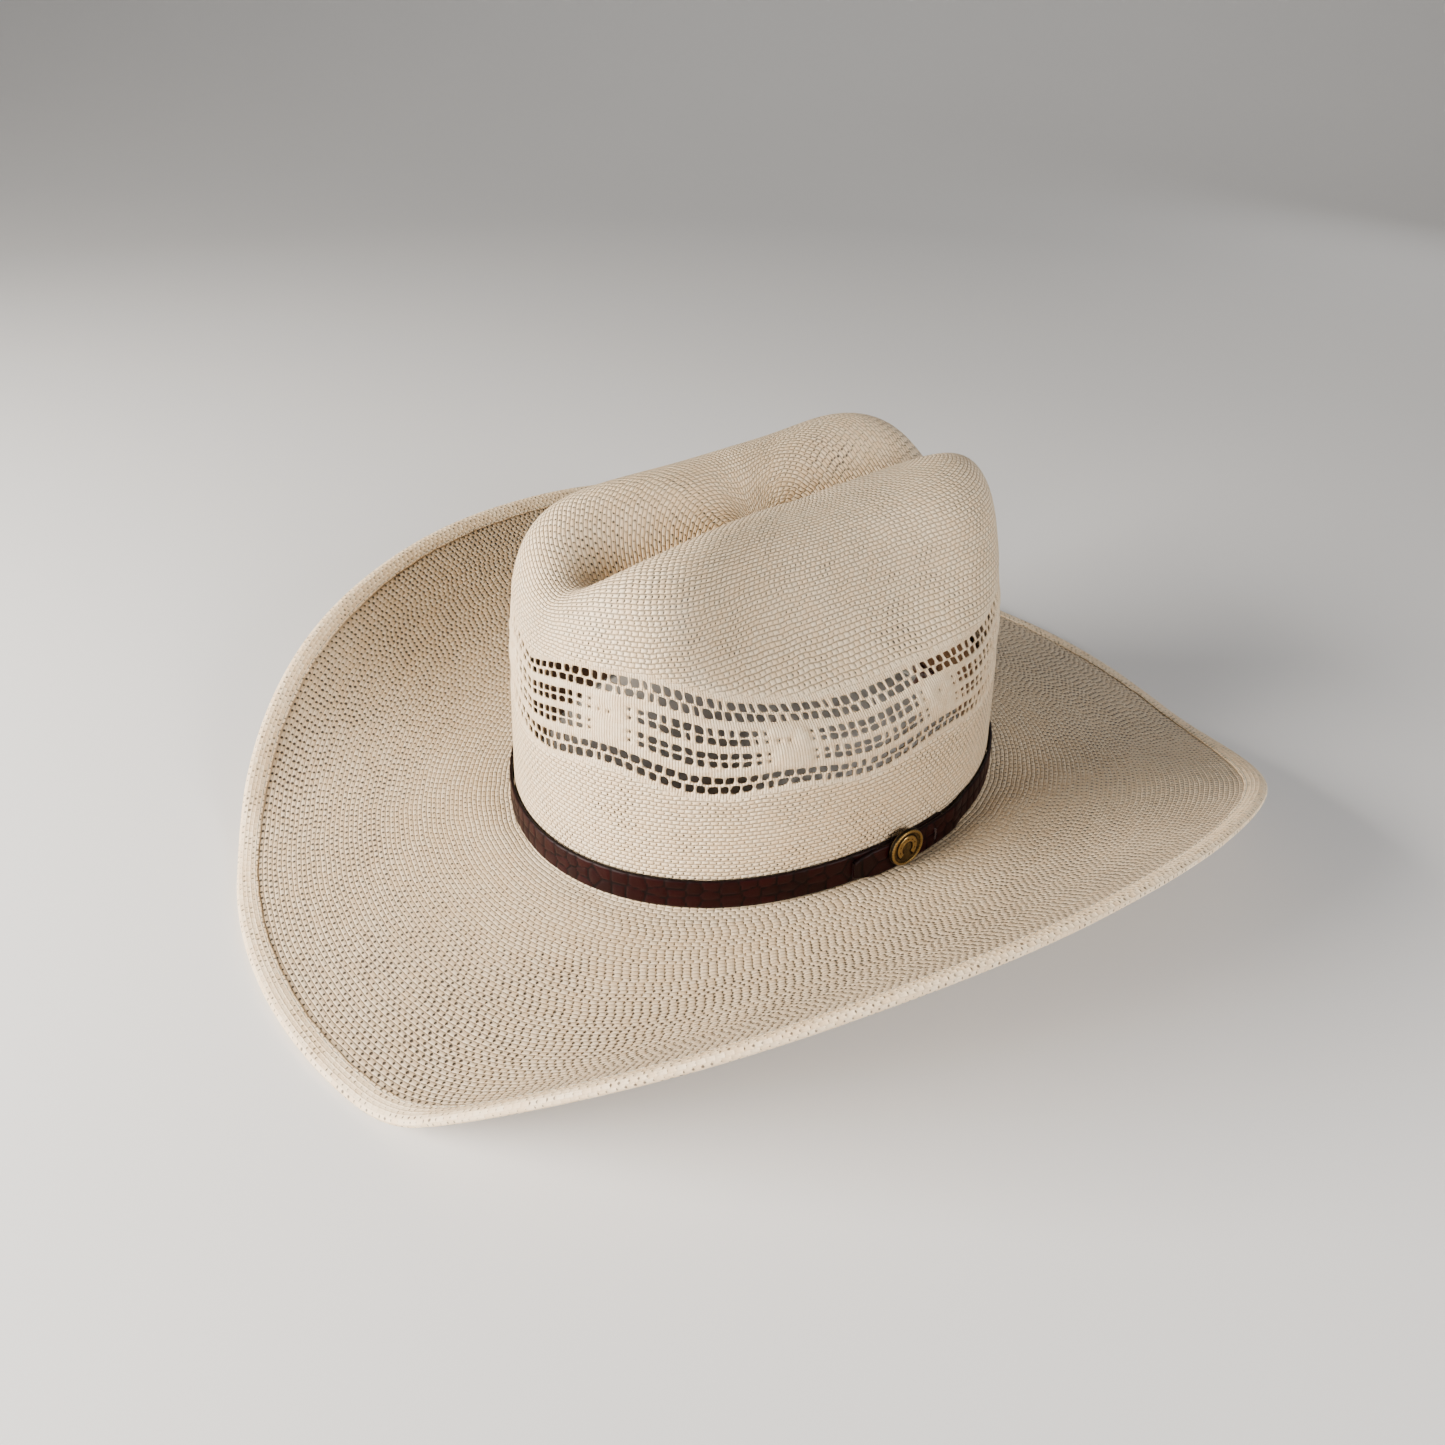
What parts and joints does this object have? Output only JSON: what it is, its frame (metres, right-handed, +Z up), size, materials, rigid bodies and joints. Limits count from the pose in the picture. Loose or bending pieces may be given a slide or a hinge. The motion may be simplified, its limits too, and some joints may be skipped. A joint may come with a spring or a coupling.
{
  "type": "western straw hat",
  "caption": "Cream woven straw western hat with a creased vented crown, a rolled brim, a lined head opening and a lift-off leather hatband with a brass concho.",
  "frame": {"origin": "middle of the hat's plan outline, at the table that the front and back of the brim stand on", "axes": "+Z up out of the crown, -Y to the front of the hat, +X to the wearer's left, where the concho is"},
  "size_m": [0.3516, 0.407, 0.143],
  "materials": {
    "straw": "woven lacquered straw",
    "straw_strip": "folded woven straw",
    "spring_wire": "plain",
    "crimp_sleeve": "plain",
    "thread": "matte",
    "dark_thread": "matte",
    "sweat_leather": "smooth",
    "reed_plastic": "matte",
    "cotton_tape": "matte",
    "ribbon": "satin",
    "tag_paper": "matte",
    "croc_leather": "embossed, semi-gloss",
    "concho_brass": "aged, raised parts polished",
    "screw_brass": "plain"
  },
  "bodies": {
    "hat": {"straw_body": "straw", "brim_strip": "straw_strip", "brim_wire": "spring_wire", "wire_sleeve": "crimp_sleeve", "edge_thread_top": "thread", "edge_thread_under": "thread", "sweatband": "sweat_leather", "sweatband_reed": "reed_plastic", "reed_tape": "cotton_tape", "sweatband_thread": "thread", "sweatband_seam_tape": "cotton_tape", "sweatband_bow": "ribbon", "size_tag": "tag_paper"},
    "hatband": {"hatband_strap": "croc_leather", "hatband_tack": "dark_thread"},
    "concho": {"concho": "concho_brass", "concho_screw": "screw_brass"}
  },
  "joints": [
    {"name": "hatband_lift", "type": "slide", "parent": "hat", "child": "hatband", "axis": [0, 0, 1], "range_m": [0, 0.15]},
    {"name": "concho_turn", "type": "hinge", "parent": "hatband", "child": "concho", "pos_m": [0.08546, 0, 0.03079], "axis": [0.9986, 0, 0.0523], "continuous": true}
  ]
}
